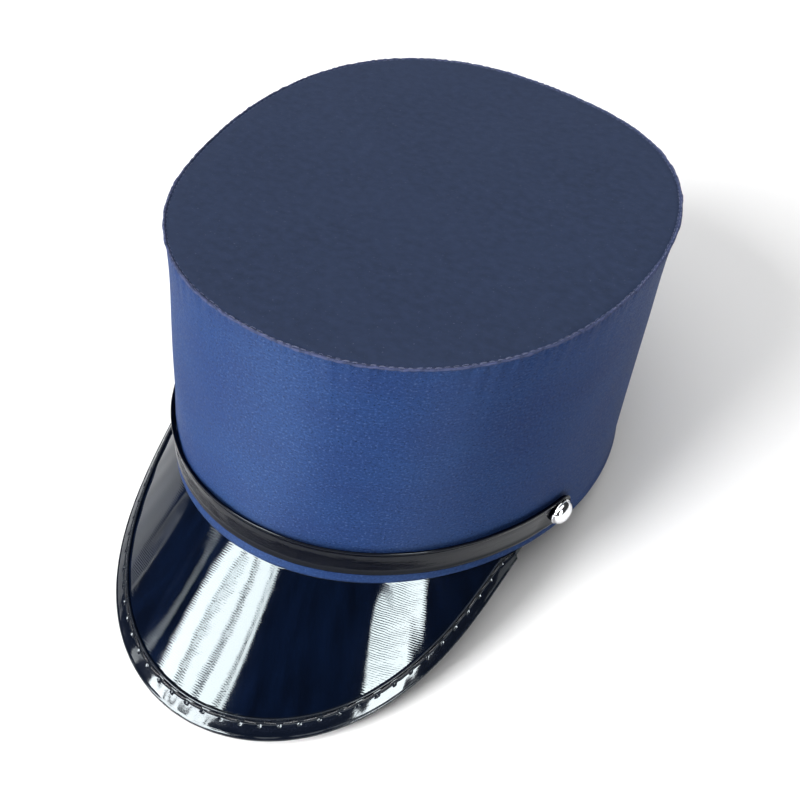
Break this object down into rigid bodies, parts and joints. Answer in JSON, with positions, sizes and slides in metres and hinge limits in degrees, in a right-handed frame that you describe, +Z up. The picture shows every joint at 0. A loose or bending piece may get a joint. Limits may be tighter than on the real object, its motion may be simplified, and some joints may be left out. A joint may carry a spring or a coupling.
{
  "type": "shako hat",
  "caption": "Shako hat with a stiff cloth crown, a flat sewn top, a glossy bound peak and a patent chin strap held by two domed studs.",
  "frame": {"origin": "bottom centre of the box round the hat as it stands by itself on the back of its rim and the front of its peak", "axes": "+Z up from the surface it stands on, -Y the way the peak points, +X the wearer's left"},
  "size_m": [0.1714, 0.2612, 0.1266],
  "materials": {
    "crown_satin": "woven satin with a soft sheen",
    "top_cloth": "matte woven cloth",
    "peak_patent": "mirror gloss patent with a fine cross grain",
    "binding_patent": "glossy folded patent, stitched",
    "strap_patent": "glossy folded patent",
    "stud_chrome": "polished"
  },
  "bodies": {
    "root": {"crown_side": "crown_satin", "top_panel": "top_cloth", "peak": "peak_patent", "peak_binding": "binding_patent", "chin_strap": "strap_patent", "stud_left": "stud_chrome", "stud_right": "stud_chrome"}
  },
  "joints": []
}
